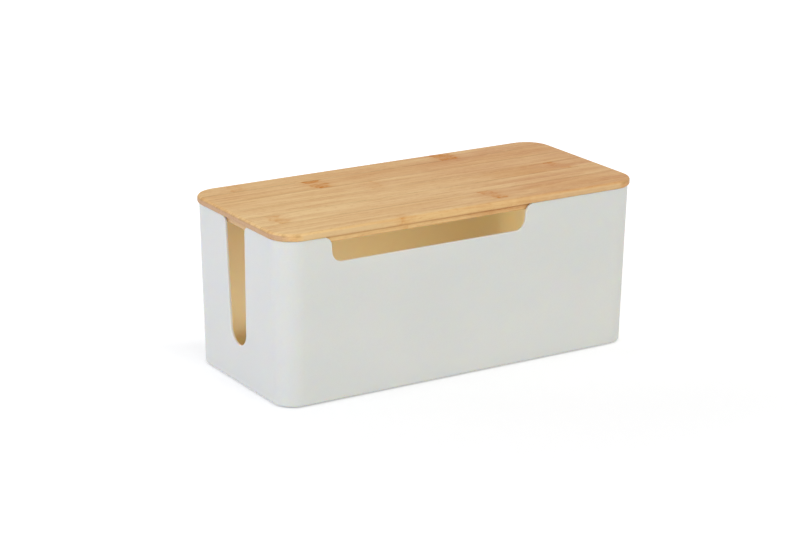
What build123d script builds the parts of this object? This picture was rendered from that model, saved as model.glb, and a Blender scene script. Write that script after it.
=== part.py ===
from build123d import *
import os
from math import ceil, cos, floor, radians, sin, tan

# A cable management box: a drafted plastic tub with cable openings in its walls,
# closed by a loose bamboo lid whose rebated middle drops into the rim. Millimetres,
# +Z up, X along the length, the front towards -Y. The origin is on the surface that
# the box stands on, under the middle of the box.

os.makedirs("parts", exist_ok=True)

# Whole box
overall_length = 310.0      # over the lid
overall_width = 140.0       # over the lid
overall_height = 130.0      # from the soles of the feet to the top of the lid

# Lid: a board of bamboo strips glued edge to edge, with a rebate all round
flange_thickness = 5.7      # the part that rests on the rim
lid_corner_radius = 20.0
lid_overhang = 1.3          # past the tub's rim, all round
lid_top_round = 2.2
lid_bottom_round = 1.6
lip_depth = 5.0             # how far the rebated middle drops inside the rim
lip_clearance = 0.8         # between the rebated middle and the tub's wall
lip_bevel = 1.0
strip_width = 22.5          # of one bamboo strip
strip_shift = 4.7           # of one glue line from the lid's middle, towards the back
narrowest_strip = 4.0       # left at the lid's edge, or its neighbour is the wider

# Tub: one injection moulding
wall_thickness = 2.0
floor_thickness = 2.4
draft_angle = 1.4           # of every side wall, in degrees
base_round = 1.5            # outside, between base and walls
well_round = 2.5            # inside, between floor and walls
rim_bevel = 0.4             # on both edges of the rim and of every opening

# Wide notch in the front wall
notch_length = 163.0        # along its ledge
notch_depth = 19.5          # below the rim
notch_centre = -30.6        # along the length, from the middle of the box
notch_lean = 4.0            # of each jamb, in degrees, wider towards the rim
notch_corner_radius = 8.5
notch_mouth_radius = 7.0

# Round-bottomed cable slot in each end wall
slot_depth = 93.6           # below the rim
slot_bottom_radius = 11.7
slot_lean = 2.0             # of each side, in degrees, wider towards the rim
slot_mouth_radius = 5.0

# Feet: four round rubber pads in pockets of the base
foot_diameter = 12.0
foot_thickness = 1.6
foot_protrusion = 0.8       # below the base
foot_clearance = 0.3        # between a pad and the side of its pocket
foot_bevel = 0.4
foot_inset = 20.0           # from the edges of the base to a pad's centre

# Levels
base_level = foot_protrusion
rim_level = overall_height - flange_thickness
floor_level = base_level + floor_thickness
lip_level = rim_level - lip_depth
pocket_level = foot_thickness

# Outlines: the rim is the lid less its overhang, and the base is the rim less the
# draft of the walls
rim_length = overall_length - 2 * lid_overhang
rim_width = overall_width - 2 * lid_overhang
rim_radius = lid_corner_radius - lid_overhang
base_inset = (rim_level - base_level) * tan(radians(draft_angle))
base_length = rim_length - 2 * base_inset
base_width = rim_width - 2 * base_inset
lip_inset = lid_overhang + wall_thickness + lip_clearance
foot_spacing_x = base_length - 2 * foot_inset
foot_spacing_y = base_width - 2 * foot_inset

# The openings' cutters start this far above the rim
overrun = 2.0


def drafted_block(inset, bottom):
    """The tub's outer form, or the space inside it: a block below the rim that is
    smaller than the rim's outline by inset and narrows downwards by the draft."""
    with BuildPart() as block:
        with BuildSketch(Plane.XY.offset(rim_level)):
            RectangleRounded(rim_length - 2 * inset, rim_width - 2 * inset, rim_radius - inset)
        extrude(amount=rim_level - bottom, dir=(0, 0, -1), taper=draft_angle)
    return block.part


def notch_outline():
    """The notch as seen from the front, from the rim down."""
    spread = (notch_depth + overrun) * tan(radians(notch_lean))
    half_ledge = notch_length / 2
    with BuildSketch() as outline:
        with BuildLine():
            Polyline(
                (-half_ledge - spread, overrun),
                (-half_ledge, -notch_depth),
                (half_ledge, -notch_depth),
                (half_ledge + spread, overrun),
                close=True,
            )
        make_face()
        fillet(outline.vertices().group_by(Axis.Y)[0], notch_corner_radius)
    return outline.sketch


def slot_outline():
    """A slot as seen from the end, from the rim down: two leaning sides that run
    tangent into a full round."""
    lean = radians(slot_lean)
    touch_y = slot_bottom_radius * (1 - sin(lean)) - slot_depth
    touch_x = slot_bottom_radius * cos(lean)
    mouth_x = touch_x + (overrun - touch_y) * tan(lean)
    with BuildSketch() as outline:
        with BuildLine():
            side = Line((-mouth_x, overrun), (-touch_x, touch_y))
            TangentArc((-touch_x, touch_y), (touch_x, touch_y), tangent=side % 1)
            Polyline((touch_x, touch_y), (mouth_x, overrun), (-mouth_x, overrun))
        make_face()
    return outline.sketch


def crosses_wall(edge):
    """True of the short edges that run from a wall's outside to its inside."""
    return edge.length < 1.5 * wall_thickness


with BuildPart() as well:
    add(drafted_block(wall_thickness, floor_level))
    fillet(well.faces().sort_by(Axis.Z)[0].edges(), well_round)

with BuildPart() as tub:
    add(drafted_block(0, base_level))
    fillet(tub.faces().sort_by(Axis.Z)[0].edges(), base_round)
    add(well.part, mode=Mode.SUBTRACT)

    # Pockets for the feet
    with BuildSketch(Plane.XY.offset(base_level)):
        with GridLocations(foot_spacing_x, foot_spacing_y, 2, 2):
            Circle(foot_diameter / 2 + foot_clearance)
    extrude(amount=pocket_level - base_level, mode=Mode.SUBTRACT)

    # Openings: the notch through the front wall, the slots through both end walls
    with BuildSketch(Plane((notch_centre, 0, rim_level), x_dir=(1, 0, 0), z_dir=(0, -1, 0))):
        add(notch_outline())
    extrude(amount=overall_width / 2, mode=Mode.SUBTRACT)
    with BuildSketch(Plane((0, 0, rim_level), x_dir=(0, 1, 0), z_dir=(1, 0, 0))):
        add(slot_outline())
    extrude(amount=overall_length / 2, both=True, mode=Mode.SUBTRACT)

    # Mouths that flare into the rim
    notch_mouth = tub.edges().group_by(Axis.Z)[-1].filter_by(Axis.Y).filter_by(crosses_wall)
    fillet(notch_mouth, notch_mouth_radius)
    slot_mouths = tub.edges().group_by(Axis.Z)[-1].filter_by(Axis.X).filter_by(crosses_wall)
    fillet(slot_mouths, slot_mouth_radius)

    # The bevel on the rim's edges runs on without a break round each opening
    rim_edges = tub.edges().group_by(Axis.Z)[-1].filter_by(crosses_wall, reverse=True)
    chamfer(rim_edges, rim_bevel)

tub.part.label = "box_body"
export_step(tub.part, "parts/box_body.step")

# Feet, glued into their pockets
for side, sign_x in (("left", -1), ("right", 1)):
    for face, sign_y in (("front", -1), ("back", 1)):
        with BuildPart() as foot:
            with BuildSketch():
                with Locations((sign_x * foot_spacing_x / 2, sign_y * foot_spacing_y / 2)):
                    Circle(foot_diameter / 2)
            extrude(amount=foot_thickness)
            chamfer(foot.edges().group_by(Axis.Z)[0], foot_bevel)
        foot.part.label = f"foot_{face}_{side}"
        export_step(foot.part, f"parts/{foot.part.label}.step")

# The lid's board in one piece: flange and rebated middle, with its edges rounded
with BuildPart() as board:
    with BuildSketch(Plane.XY.offset(rim_level)):
        RectangleRounded(overall_length, overall_width, lid_corner_radius)
    extrude(amount=flange_thickness)
    fillet(board.faces().sort_by(Axis.Z)[-1].edges(), lid_top_round)
    fillet(board.faces().sort_by(Axis.Z)[0].edges(), lid_bottom_round)
    with BuildSketch(Plane.XY.offset(rim_level)):
        RectangleRounded(
            overall_length - 2 * lip_inset,
            overall_width - 2 * lip_inset,
            lid_corner_radius - lip_inset,
        )
    extrude(amount=-lip_depth)
    chamfer(board.faces().sort_by(Axis.Z)[0].edges(), lip_bevel)

# Glue lines across the board, from front to back: one strip width apart, except
# where the board's edge would leave too narrow a strip
board_edge = overall_width / 2
first_line = ceil((narrowest_strip - board_edge - strip_shift) / strip_width)
last_line = floor((board_edge - narrowest_strip - strip_shift) / strip_width)
glue_lines = [strip_shift + line * strip_width for line in range(first_line, last_line + 1)]
strip_fronts = [-board_edge] + glue_lines
strip_backs = glue_lines + [board_edge]

for number, (front, back) in enumerate(zip(strip_fronts, strip_backs), start=1):
    with BuildPart() as strip:
        add(board.part)
        with BuildSketch(Plane.XY.offset(lip_level)):
            with Locations((0, (front + back) / 2)):
                Rectangle(overall_length, back - front)
        extrude(amount=overall_height - lip_level, mode=Mode.INTERSECT)
    strip.part.label = f"lid_strip_{number}"
    export_step(strip.part, f"parts/{strip.part.label}.step")
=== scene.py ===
import math

import bpy
from mathutils import Matrix, Vector

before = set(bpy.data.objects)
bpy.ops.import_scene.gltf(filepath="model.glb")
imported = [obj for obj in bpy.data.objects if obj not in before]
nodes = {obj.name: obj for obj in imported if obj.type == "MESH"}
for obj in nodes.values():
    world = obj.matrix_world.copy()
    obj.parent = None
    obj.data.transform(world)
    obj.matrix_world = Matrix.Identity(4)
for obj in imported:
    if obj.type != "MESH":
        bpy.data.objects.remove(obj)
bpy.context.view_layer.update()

MM = 0.001
WHITE = (1.0, 1.0, 1.0, 1.0)


def srgb(red, green, blue):
    """A linear colour from one written with 0 to 255 per channel."""
    def channel(value):
        share = value / 255
        return share / 12.92 if share <= 0.04045 else ((share + 0.055) / 1.055) ** 2.4
    return (channel(red), channel(green), channel(blue), 1.0)


def feed(tree, socket, value):
    """Links an input to another node's output, or sets its value."""
    if isinstance(value, bpy.types.NodeSocket):
        tree.links.new(value, socket)
    else:
        socket.default_value = value


def put(tree, kind, attributes=None, **inputs):
    """A new node. Its inputs are given by name, or as at0, at1 and so on by their order."""
    made = tree.nodes.new(kind)
    for key, value in (attributes or {}).items():
        setattr(made, key, value)
    for key, value in inputs.items():
        name = int(key[2:]) if key.startswith("at") else key.replace("_", " ")
        feed(tree, made.inputs[name], value)
    return made


class Graph:
    """A material's nodes, each made in one call. Here is a place in the object, in metres."""

    def __init__(self, name):
        self.material = bpy.data.materials.new(name)
        self.material.use_nodes = True
        self.tree = self.material.node_tree
        self.shader = self.tree.nodes["Principled BSDF"]
        self.here = self.add("ShaderNodeTexCoord").outputs["Object"]

    def add(self, kind, attributes=None, **inputs):
        return put(self.tree, kind, attributes, **inputs)

    def paint(self, name, value):
        """Feeds one of the shader's own inputs."""
        feed(self.tree, self.shader.inputs[name], value)

    def place(self):
        """The three parts of here: x, y and z."""
        return self.add("ShaderNodeSeparateXYZ", Vector=self.here).outputs

    def math(self, operation, first, *others, clamp=False):
        """An operation on one value, or on several from left to right."""
        for other in others or (0.0,):
            made = self.add("ShaderNodeMath", {"operation": operation, "use_clamp": clamp},
                            at0=first, at1=other)
            first = made.outputs[0]
        return first

    def plus(self, *values, clamp=False):
        return self.math("ADD", *values, clamp=clamp)

    def times(self, *values, clamp=False):
        return self.math("MULTIPLY", *values, clamp=clamp)

    def largest(self, *values):
        return self.math("MAXIMUM", *values)

    def off(self, value, place):
        """How far a value is from a place, to either side."""
        return self.math("ABSOLUTE", self.math("SUBTRACT", value, place))

    def length(self, along_x, along_y):
        squares = self.plus(self.math("POWER", along_x, 2.0), self.math("POWER", along_y, 2.0))
        return self.math("SQRT", squares)

    def smooth(self, value, low, high, start=0.0, end=1.0):
        """From start to end as value goes from low to high, eased at both ends."""
        made = self.add("ShaderNodeMapRange", {"interpolation_type": "SMOOTHSTEP"},
                        Value=value, From_Min=low, From_Max=high, To_Min=start, To_Max=end)
        return made.outputs["Result"]

    def mix(self, factor, first, second):
        made = self.add("ShaderNodeMix", {"data_type": "RGBA"}, at0=factor, at6=first, at7=second)
        return made.outputs[2]

    def noise(self, size, detail=2.0, roughness=0.5, offset=(0.0, 0.0, 0.0)):
        """Noise whose cells have this size in mm along x, y and z. The offset counts cells."""
        scale = tuple(1 / (length * MM) for length in size)
        placed = self.add("ShaderNodeMapping", Vector=self.here, Location=offset, Scale=scale)
        made = self.add("ShaderNodeTexNoise", Vector=placed.outputs[0], Scale=1.0,
                        Detail=detail, Roughness=roughness)
        return made.outputs["Fac"]

    def bump(self, height, distance, strength, under=None):
        """A bump, on top of another one if that is given."""
        made = self.add("ShaderNodeBump", Height=height, Distance=distance, Strength=strength)
        if under is not None:
            feed(self.tree, made.inputs["Normal"], under)
        return made.outputs[0]


# ---- Colours ------------------------------------------------------------------------------

# Bamboo: its ground from cream to honey, the rosier and redder wood, dark and pale fibres
CREAM = srgb(236, 200, 140)
HONEY = srgb(218, 168, 104)
ROSE = srgb(204, 141, 86)
BLUSH = srgb(204, 138, 58)
STRAND = srgb(188, 110, 36)
PALE = srgb(242, 210, 152)

# What crosses and edges the strips: nodes of the cane, glue, the sides of the board, and painted
# shade and highlights on its edges
SCAR = srgb(200, 114, 0)
GLUE = srgb(165, 108, 0)
LONG_SIDE = srgb(214, 184, 142)
CUT_END = srgb(198, 164, 132)
# Darker colour on the round of the lid's ends
ROUND_DARK = srgb(166, 124, 60)
# Painted shade: the flange's shadow in the corner of the rebate, on the lip
REBATE_SHADE = srgb(160, 84, 0)
REBATE_SHADE_STRENGTH = 0.36                     # how strongly the painted shade in the corner of the rebate shows

# Plastic: two tones that drift into each other and fine specks; and painted warm bounce light on
# the inner skin where it is closed in, near the notch and farther along
PLASTIC = (srgb(220, 222, 219), srgb(224, 225, 221))
PLASTIC_SPECK = srgb(206, 206, 200)
INNER_BOUNCE = srgb(238, 230, 202)
INNER_BOUNCE_FAR = srgb(233, 222, 182)

# How open the surroundings of the inner skin are, from 0 to 1, up to which the painted warm
# bounce light is full, and from which it is gone and the skin is as pale as the outside
CLOSED_IN = 0.07
IN_THE_OPEN = 0.28

RUBBER = (srgb(168, 168, 166), srgb(182, 182, 179))

# Each strip: how far its tone is from cream to honey, how rosy it is, the nodes of the cane
# that cross it, as (place along x in mm, width in mm, strength, slant), and its redder
# stretches, as (place along x in mm, reach in mm, strength)
STRIPS = [
    {"honey": 0.10, "rose": 0.25, "joints": [(-54, 7, 0.3, 0.1)], "blush": []},
    {"honey": 0.40, "rose": 0.45, "joints": [(34, 7, 0.72, -0.2)], "blush": [(100, 50, 0.2)]},
    {"honey": 0.15, "rose": 0.30, "joints": [(-134, 8, 0.5, -0.1)], "blush": []},
    {"honey": 0.30, "rose": 0.40, "joints": [(125, 6, 0.56, -0.35)], "blush": [(84, 44, 0.45)]},
    {"honey": 0.45, "rose": 0.35, "joints": [(-28, 6, 0.35, 0.15)], "blush": []},
    {"honey": 0.75, "rose": 0.35, "joints": [(-63, 11, 0.82, -0.1)], "blush": []},
    {"honey": 0.50, "rose": 0.40, "joints": [(62, 11, 0.97, -0.1), (-121, 8, 0.3, 0.1)],
     "blush": []},
]

# How strongly each glue line shows, from the front to the back
GLUED = (0.38, 0.70, 0.82, 0.50, 0.68, 1.0)

# ---- Measures of the parts ----------------------------------------------------------------
# Places come from the frame. The radius, the wall, its draft, the clearance and the floor
# are those of the CAD source.


def extents(name):
    """The lowest and the highest corner of a node's mesh."""
    corners = nodes[name].bound_box
    return [[pick(corner[axis] for corner in corners) for axis in range(3)]
            for pick in (min, max)]


STRIP_NAMES = [f"lid_strip_{number}" for number in range(1, len(STRIPS) + 1)]
LID_HALF_X = extents(STRIP_NAMES[1])[1][0]
LID_HALF_Y = extents(STRIP_NAMES[-1])[1][1]
LID_TOP = extents(STRIP_NAMES[1])[1][2]
LID_RADIUS = 20 * MM

# The tub's rim, which the lid's flange rests on: its outline, and the walls below it
RIM_HALF_X, RIM_HALF_Y, RIM_LEVEL = extents("box_body")[1]
OVERHANG = LID_HALF_X - RIM_HALF_X
RIM_RADIUS = LID_RADIUS - OVERHANG
WALL = 2.0 * MM
DRAFT = math.radians(1.4)
FLOOR_TOP = 3.2 * MM                # of the tub, inside

# The lid's rebated middle, inside the rim
LIP_CLEARANCE = 0.8 * MM
LIP_INSET = OVERHANG + WALL + LIP_CLEARANCE


def rounded_outline(g, x, y, half_x, half_y, radius):
    """How deep a place is inside a rounded rectangle, and how much the outline nearest to
    it faces along x, from 0 on the long sides to 1 on the ends."""
    past_x, past_y = (
        g.largest(g.math("SUBTRACT", g.math("ABSOLUTE", along), half - radius), 0.0)
        for along, half in ((x, half_x), (y, half_y))
    )
    reach = g.length(past_x, past_y)
    endwise = g.math("DIVIDE", past_x, g.largest(reach, 0.1 * MM))
    return g.math("SUBTRACT", radius, reach), endwise


# ---- Bamboo -------------------------------------------------------------------------------


def ground(g, strip, seed, x):
    """The strip's tone: cream to honey with broad drifts along the cane, rosier to one end
    of the lid, and its redder stretches."""
    drift = g.noise((90, 9, 20), 3.0, 0.55, (seed, 3 * seed, 0.0))
    tone = g.plus(g.smooth(drift, 0.3, 0.7, -0.28, 0.28), strip["honey"], clamp=True)
    colour = g.mix(tone, CREAM, HONEY)
    along = g.smooth(x, -130 * MM, 160 * MM)
    rosy = g.noise((50, 10, 20), 2.0, 0.5, (5 * seed, seed, 0.0))
    rosy = g.times(g.smooth(rosy, 0.38, 0.66, 0.0, strip["rose"]),
                   g.smooth(along, 0.0, 1.0, 0.15, 1.0))
    colour = g.mix(g.plus(rosy, g.times(along, 0.36), clamp=True), colour, ROSE)
    for place, reach, strength in strip["blush"]:
        wander = g.noise((30, 4.5, 10), 3.0, 0.6, (place, seed, 0.0))
        ragged = g.plus(g.off(x, place * MM), g.smooth(wander, 0.25, 0.75, -12 * MM, 12 * MM))
        redder = g.smooth(ragged, 0.3 * reach * MM, reach * MM, strength, 0.0)
        colour = g.mix(redder, colour, BLUSH)
    return colour


def fibres(g, seed, colour):
    """Broad bands, fine strands, and the short dark and pale dashes of cut vessels. Gives
    the colour, how dark the fibres are, and the fine strands alone."""
    broad = g.noise((160, 3.2, 3.2), 3.0, 0.6, (seed, 0.0, seed))
    fine = g.noise((40, 0.60, 0.60), 2.0, 0.5, (0.0, seed, 2 * seed))
    dashes = g.noise((8.5, 0.70, 0.70), 2.0, 0.55, (seed, seed, 0.0))
    mottle = g.noise((6.0, 2.8, 2.8), 4.0, 0.72, (2 * seed, 0.0, seed))
    streaks = g.noise((55, 2.4, 2.4), 2.0, 0.5, (3 * seed, 2 * seed, 0.0))
    dark = g.plus(
        g.smooth(broad, 0.48, 0.74, 0.0, 0.26),
        g.smooth(streaks, 0.53, 0.67, 0.0, 0.36),
        g.smooth(fine, 0.50, 0.78, 0.0, 0.26),
        g.smooth(dashes, 0.56, 0.72, 0.0, 0.30),
        g.smooth(mottle, 0.50, 0.70, 0.0, 0.34),
        clamp=True,
    )
    pale = g.plus(
        g.smooth(broad, 0.50, 0.30, 0.0, 0.24),
        g.smooth(dashes, 0.42, 0.28, 0.0, 0.26),
        g.smooth(mottle, 0.44, 0.28, 0.0, 0.24),
    )
    colour = g.mix(g.times(dark, 0.64), colour, STRAND)
    return g.mix(pale, colour, PALE), dark, fine


def cane_nodes(g, joints, seed, x, y, front, back, colour):
    """Nodes of the cane: two ragged lines across the strip with mottled wood between them,
    darkest at the strip's glued sides, and paler wood beyond. Gives the colour, and how
    scarred the wood is."""
    half_strip = (back - front) / 2
    off_middle = g.math("SUBTRACT", y, (front + back) / 2)
    sides = g.smooth(g.math("ABSOLUTE", off_middle), 0.2 * half_strip, half_strip, 0.72, 1.0)
    scarred = 0.0
    for place, width, strength, slant in joints:
        half_width = width / 2 * MM
        wander = g.noise((30, 4.0, 10), 4.0, 0.62, (place, seed, 0.0))
        shifted = g.math("SUBTRACT", x, place * MM, g.times(off_middle, slant),
                         g.smooth(wander, 0.2, 0.8, -3.5 * MM, 3.5 * MM))
        outwards = g.math("ABSOLUTE", shifted)
        first = g.smooth(g.off(shifted, -half_width), 0.0, 2.4 * MM, 1.0, 0.0)
        second = g.smooth(g.off(shifted, half_width), 0.0, 1.8 * MM, 0.8, 0.0)
        inside = g.smooth(outwards, half_width, half_width + 3 * MM, 0.66, 0.0)
        grain = g.noise((6.0, 0.9, 2.0), 3.0, 0.65, (seed, place, 0.0))
        patchy = g.noise((12, 6.5, 10), 2.0, 0.5, (place, seed, 3.0))
        mark = g.times(
            g.largest(first, second, inside),
            g.smooth(grain, 0.36, 0.62, 0.30, 1.10),
            sides,
            g.smooth(patchy, 0.38, 0.60, 0.35, 1.25),
        )
        halo = g.smooth(outwards, half_width, half_width + 11 * MM, 0.14, 0.0)
        beyond = g.times(
            g.smooth(shifted, half_width, half_width + 5 * MM),
            g.smooth(shifted, half_width + 30 * MM, half_width + 14 * MM),
            0.12 * strength,
        )
        mark = g.times(g.largest(mark, halo), 1.3 * strength, clamp=True)
        colour = g.mix(beyond, colour, PALE)
        colour = g.mix(mark, colour, SCAR)
        scarred = g.largest(scarred, mark)
    return colour, scarred


def glue_lines(g, number, y, front, back):
    """How strongly a glue line shows: a fine broken line at each glued side of the strip."""
    lines = []
    for edge, count in ((front, number - 2), (back, number - 1)):
        if 0 <= count < len(GLUED):
            away = g.off(y, edge)
            thin = g.smooth(away, 0.10 * MM, 0.40 * MM, 1.0, 0.0)
            wide = g.smooth(away, 0.0, 1.6 * MM, 0.22, 0.0)
            broken = g.noise((20, 20, 20), 3.0, 0.65, (round(edge / MM), 0.0, 0.0))
            shows = g.smooth(broken, 0.36, 0.66, 0.3 * GLUED[count], GLUED[count])
            lines.append(g.times(g.largest(thin, wide), shows))
    return g.largest(*lines)


def board_edges(g, seed, x, y, z, colour):
    """The sides, the rounded top edge and the rebate of the board, over the strip's wood, with
    painted highlights and painted shade on them.
    """
    depth, endwise = rounded_outline(g, x, y, LID_HALF_X, LID_HALF_Y, LID_RADIUS)
    below = g.smooth(z, RIM_LEVEL, RIM_LEVEL + 0.1 * MM, 1.0, 0.0)
    flange_side = g.times(
        g.smooth(depth, 0.15 * MM, 0.5 * MM, 1.0, 0.0),
        g.smooth(z, LID_TOP - 1.1 * MM, LID_TOP - 1.9 * MM),
    )
    lip_side = g.times(
        g.smooth(depth, LIP_INSET - 0.3 * MM, LIP_INSET - 0.1 * MM),
        g.smooth(depth, LIP_INSET + 1.0 * MM, LIP_INSET + 1.3 * MM, 1.0, 0.0),
        below,
    )

    # Long sides of the flange, greyer towards the lid's ends than in its middle
    greyer = g.times(
        g.smooth(g.math("ABSOLUTE", x), 45 * MM, 90 * MM, 0.0, 0.45),
        g.smooth(endwise, 0.0, 0.2, 1.0, 0.0),
    )
    colour = g.mix(g.times(flange_side, greyer), colour, LONG_SIDE)
    darker = g.smooth(endwise, 0.0, 0.3, 0.0, 0.22)
    colour = g.mix(g.times(flange_side, darker), colour, STRAND)

    # Cut ends of the strands: greyer, with dots
    ends = g.times(g.largest(flange_side, lip_side), g.smooth(endwise, 0.45, 0.9))
    dots = g.noise((4.0, 0.7, 0.7), 2.0, 0.6, (0.0, seed, 0.0))
    colour = g.mix(g.times(ends, 0.75), colour, CUT_END)
    colour = g.mix(g.times(ends, g.smooth(dots, 0.5, 0.68, 0.0, 0.4)), colour, STRAND)

    # The round along the top: a painted highlight on the long sides, and darker and mottled on
    # the ends
    rounding = g.times(
        g.smooth(z, LID_TOP - 0.2 * MM, LID_TOP - 1.3 * MM),
        g.smooth(z, LID_TOP - 2.7 * MM, LID_TOP - 2.0 * MM),
    )
    # Painted highlight on the round of the long sides, stronger towards +x
    painted_highlight = g.times(
        g.smooth(x, -20 * MM, 90 * MM, 0.05, 0.25),
        g.smooth(endwise, 0.0, 0.3, 1.0, 0.0),
    )
    colour = g.mix(g.times(rounding, painted_highlight), colour, PALE)
    # Darker and mottled on the round of the ends
    end_round_dark = g.noise((6, 6, 20), 3.0, 0.65, (seed, 0.0, 0.0))
    end_round_dark = g.times(g.smooth(end_round_dark, 0.38, 0.62, 0.15, 1.0), g.smooth(endwise, 0.0, 0.3, 0.0, 0.42))
    colour = g.mix(g.times(rounding, end_round_dark), colour, ROUND_DARK)

    # Painted shade in the corner of the rebate: the flange's shadow on the lip, darker the nearer
    # to the flange, but hardly on the ends, where the lip's side gets a painted highlight instead
    corner = g.times(
        g.smooth(z, RIM_LEVEL - 2.1 * MM, RIM_LEVEL - 1.2 * MM),
        below,
        g.smooth(depth, 1.0 * MM, 3.0 * MM),
        g.smooth(endwise, 0.5, 0.9, REBATE_SHADE_STRENGTH, 0.1),
    )
    colour = g.mix(corner, colour, REBATE_SHADE)
    # Painted highlight: the lip's cut ends made paler, as where they are lit
    lit_lip_end = g.smooth(endwise, 0.5, 0.9, 0.0, 0.35)
    return g.mix(g.times(lip_side, lit_lip_end), colour, PALE)


def bamboo(number, strip, front, back):
    """One strip of the board, between the places of its front and back sides along y."""
    g = Graph(f"bamboo_{number}")
    seed = 1.7 * number
    x, y, z = g.place()
    colour = ground(g, strip, seed, x)
    colour, dark, fine = fibres(g, seed, colour)
    colour, scarred = cane_nodes(g, strip["joints"], seed, x, y, front, back, colour)
    lines = glue_lines(g, number, y, front, back)
    colour = g.mix(lines, colour, GLUE)
    colour = board_edges(g, seed, x, y, z, colour)

    height = g.plus(g.times(dark, -0.6), g.times(lines, -0.5))
    g.paint("Base Color", colour)
    g.paint("Roughness", g.smooth(fine, 0.3, 0.75, 0.48, 0.62))
    g.paint("Normal", g.bump(height, 0.10 * MM, 0.4))
    g.paint("Specular IOR Level", 0.3)
    g.paint("Specular IOR Level", g.smooth(scarred, 0.0, 0.5, 0.3, 0.05))
    return g.material


# ---- Plastic and rubber -------------------------------------------------------------------


def plastic():
    """Satin white plastic that lets some light through. Its inner skin carries painted warm
    bounce light, as from the bamboo, where the lid closes it in, and is as pale as the outside
    where it is in the open."""
    g = Graph("white_plastic")
    x, y, z = g.place()
    cloud = g.noise((90, 90, 60), 3.0, 0.5)
    speck = g.noise((1.1, 1.1, 1.1), 2.0, 0.6, (4.0, 0.0, 0.0))
    colour = g.mix(g.smooth(cloud, 0.3, 0.7), *PLASTIC)
    colour = g.mix(g.smooth(speck, 0.35, 0.75, 0.0, 0.10), colour, PLASTIC_SPECK)

    # Depth under the outer skin, which is a rounded rectangle that shrinks downwards
    outline_depth, _ = rounded_outline(g, x, y, RIM_HALF_X, RIM_HALF_Y, RIM_RADIUS)
    drafted_in = g.times(g.math("SUBTRACT", RIM_LEVEL, z), math.tan(DRAFT))
    depth = g.math("SUBTRACT", outline_depth, drafted_in)
    inner = g.times(
        g.smooth(depth, WALL - 0.14 * MM, WALL - 0.05 * MM),
        g.smooth(z, FLOOR_TOP - 0.8 * MM, FLOOR_TOP - 0.2 * MM),
    )
    # The painted warm bounce light is yellower farther along, towards the +x end
    far = g.times(g.smooth(x, -110 * MM, 10 * MM), g.smooth(x, 147 * MM, 140 * MM))
    painted_bounce = g.mix(far, INNER_BOUNCE, INNER_BOUNCE_FAR)

    # Looked for up to the box's length away, so that a raised lid leaves the skin in the open,
    # without the painted bounce light
    around = g.add("ShaderNodeAmbientOcclusion", {"samples": 16}, Distance=2 * RIM_HALF_X)
    inner_bounce_mix = g.mix(g.smooth(around.outputs["AO"], CLOSED_IN, IN_THE_OPEN), painted_bounce, colour)

    flow = g.noise((35, 35, 50), 1.0, 0.5, (7.0, 0.0, 0.0))
    grain = g.noise((0.45, 0.45, 0.45), 2.0, 0.6)
    waves = g.bump(flow, 0.35 * MM, 0.25)
    g.paint("Base Color", g.mix(inner, colour, inner_bounce_mix))
    g.paint("Roughness", g.smooth(cloud, 0.3, 0.7, 0.40, 0.48))
    g.paint("Normal", g.bump(grain, 0.01 * MM, 0.6, waves))
    g.paint("IOR", 1.49)
    g.paint("Subsurface Weight", 1.0)
    g.paint("Subsurface Radius", (1.0, 0.75, 0.45))
    g.paint("Subsurface Scale", 1.5 * MM)
    return g.material


def rubber():
    g = Graph("foot_rubber")
    speck = g.noise((0.8, 0.8, 0.8), 3.0, 0.6)
    g.paint("Base Color", g.mix(g.smooth(speck, 0.3, 0.7), *RUBBER))
    g.paint("Roughness", g.smooth(speck, 0.3, 0.7, 0.6, 0.75))
    g.paint("Normal", g.bump(speck, 0.04 * MM, 0.5))
    return g.material


def dress(node, material):
    node.data.materials.clear()
    node.data.materials.append(material)


for number, (name, strip) in enumerate(zip(STRIP_NAMES, STRIPS), start=1):
    low, high = extents(name)
    dress(nodes[name], bamboo(number, strip, low[1], high[1]))
dress(nodes["box_body"], plastic())
foot_material = rubber()
for face in ("front", "back"):
    for side in ("left", "right"):
        dress(nodes[f"foot_{face}_{side}"], foot_material)

# ---- Floor and surroundings ---------------------------------------------------------------

BACKDROP = 1.0                      # what the camera and mirrors see where there is no object
AMBIENT = 0.68                      # what lights the object from all round
AMBIENT_COLOUR = (1.0, 0.995, 0.975, 1.0)
FLOOR_SIZE = 12.0
FLOOR_GREY = (0.80, 0.80, 0.80, 1.0)
AWAY = (0.53, 0.85)                 # the way the camera looks, along the floor


def shown(tree):
    """1 for rays that show the surroundings: the camera's, mirrored and refracted ones."""
    path = put(tree, "ShaderNodeLightPath").outputs
    seen = path["Is Camera Ray"]
    for other in ("Is Glossy Ray", "Is Transmission Ray"):
        seen = put(tree, "ShaderNodeMath", {"operation": "MAXIMUM"},
                   at0=seen, at1=path[other]).outputs[0]
    return seen


def floor_lift(g):
    """The white seen on top of the light on the floor: least in front of the box, where its
    contact shadow stays, more beside it, behind it and far from it."""
    x, y, _ = g.place()
    behind = g.plus(g.times(x, AWAY[0]), g.times(y, AWAY[1]))
    reach = g.length(x, y)
    return g.plus(
        g.smooth(behind, -0.13, 0.0, 0.29, 0.33),
        g.smooth(behind, 0.0, 0.045, 0.0, 0.15),
        g.smooth(reach, 0.22, 0.5, 0.0, 0.10),
        g.smooth(reach, 0.6, 1.6, 0.0, 0.25),
        g.smooth(x, -0.153, -0.185, 0.0, 0.06),
    )


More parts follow.
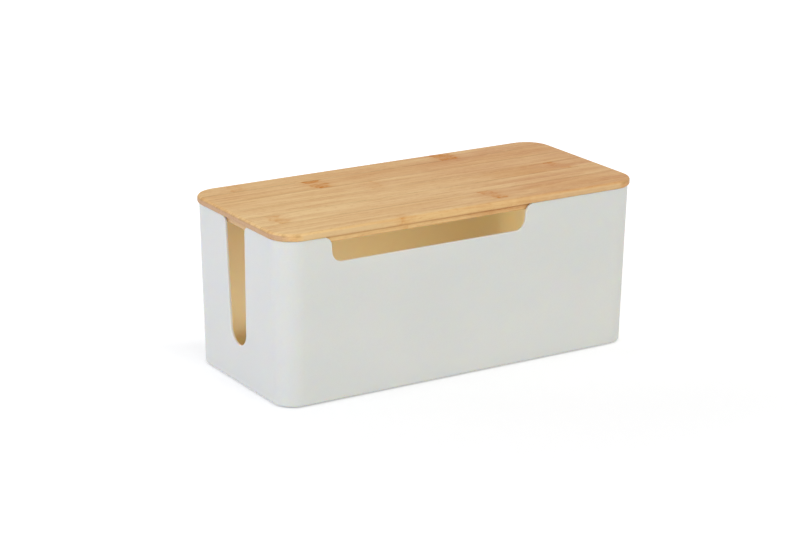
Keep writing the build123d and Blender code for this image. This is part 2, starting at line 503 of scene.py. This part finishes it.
def floor_material():
    """White for the camera, with the box's contact shadow left on it."""
    g = Graph("floor_white")
    g.paint("Base Color", FLOOR_GREY)
    g.paint("Roughness", 0.9)
    g.paint("Specular IOR Level", 0.0)
    lift = g.add("ShaderNodeEmission", Color=WHITE, Strength=floor_lift(g))
    both = g.add("ShaderNodeAddShader", at0=g.shader.outputs[0], at1=lift.outputs[0])
    seen = g.add("ShaderNodeMixShader", at0=shown(g.tree), at1=g.shader.outputs[0],
                 at2=both.outputs[0])
    feed(g.tree, g.tree.nodes["Material Output"].inputs["Surface"], seen.outputs[0])
    return g.material


bpy.ops.mesh.primitive_plane_add(size=FLOOR_SIZE, location=(0.0, 0.0, 0.0))
floor = bpy.context.object
floor.name = "floor"
floor.data.materials.append(floor_material())

world = bpy.data.worlds.new("studio")
bpy.context.scene.world = world
world.use_nodes = True
tree = world.node_tree
ambient = tree.nodes["Background"]
feed(tree, ambient.inputs["Color"], AMBIENT_COLOUR)
feed(tree, ambient.inputs["Strength"], AMBIENT)
backdrop = put(tree, "ShaderNodeBackground", Color=WHITE, Strength=BACKDROP)
choose = put(tree, "ShaderNodeMixShader", at0=shown(tree), at1=ambient.outputs[0],
             at2=backdrop.outputs[0])
feed(tree, tree.nodes["World Output"].inputs["Surface"], choose.outputs[0])

# ---- Lamps --------------------------------------------------------------------------------

MIDDLE = Vector((0.0, 0.0, 0.065))  # of the box, which the studio lamps look at
COOL = (0.772, 0.81, 1.0)
NEUTRAL = (0.99, 1.0, 0.93)
BOUNCE = (1.0, 0.96, 0.86)          # light that comes back from the bamboo and the pale walls


def area_lamp(name, place, aim, size, power, colour):
    """A rectangular lamp at a place, which shines towards aim."""
    lamp = bpy.data.lights.new(name, "AREA")
    lamp.shape = "RECTANGLE"
    lamp.size, lamp.size_y = size
    lamp.energy = power
    lamp.color = colour
    made = bpy.data.objects.new(name, lamp)
    bpy.context.scene.collection.objects.link(made)
    made.location = place
    made.rotation_mode = "QUATERNION"
    made.rotation_quaternion = (Vector(aim) - Vector(place)).to_track_quat("-Z", "Y")
    return made


def softbox(name, azimuth, elevation, distance, size, power, colour):
    """A studio lamp that looks at the middle of the box. Azimuth as the camera's."""
    turn, tilt = math.radians(azimuth), math.radians(elevation)
    back = Vector((math.sin(turn) * math.cos(tilt), -math.cos(turn) * math.cos(tilt),
                   math.sin(tilt)))
    area_lamp(name, MIDDLE + back * distance, MIDDLE, size, power, colour)


softbox("key", azimuth=-80.0, elevation=25.0, distance=2.4, size=(1.6, 1.4), power=18.4,
        colour=COOL)
softbox("fill", azimuth=-4.0, elevation=25.0, distance=2.6, size=(1.8, 1.4), power=15.6,
        colour=NEUTRAL)

# What is inside the closed box is lit through its openings and by what comes back from the
# pale walls and the lid. Two weak lamps stand for the bounces that the render leaves out: one
# on the floor of the box that looks up, and one near the far end that looks at it.
for lamp in (
    area_lamp("glow_up", place=(-0.045, 0.0, 0.012), aim=(-0.045, 0.0, 0.1),
              size=(0.21, 0.09), power=0.062, colour=BOUNCE),
    area_lamp("glow_across", place=(0.115, 0.0, 0.06), aim=(0.15, 0.0, 0.06),
              size=(0.08, 0.08), power=0.024, colour=BOUNCE),
):
    lamp.visible_camera = False

# ---- Camera -------------------------------------------------------------------------------
# Fitted to the outlines of the lid and the tub in the photograph

CAMERA_LENS = 109.961               # mm, on a sensor 36 mm wide
CAMERA_PLACE = (-0.9397304, -1.4826100, 0.6073304)
CAMERA_FORWARD = (0.5055552, 0.8098060, -0.2977049)
CAMERA_RIGHT = (0.8493203, -0.5278379, 0.0064896)

camera = bpy.data.objects.new("camera", bpy.data.cameras.new("camera"))
bpy.context.scene.collection.objects.link(camera)
camera.data.sensor_fit = "HORIZONTAL"
camera.data.sensor_width = 36.0
camera.data.lens = CAMERA_LENS
camera.data.clip_start = 0.05
camera.data.clip_end = 50.0
forward = Vector(CAMERA_FORWARD).normalized()
right = Vector(CAMERA_RIGHT).normalized()
up = right.cross(forward)
turned = Matrix((right, up, -forward)).transposed().to_4x4()
camera.matrix_world = Matrix.Translation(CAMERA_PLACE) @ turned
bpy.context.scene.camera = camera
bpy.context.scene.view_settings.view_transform = "Standard"
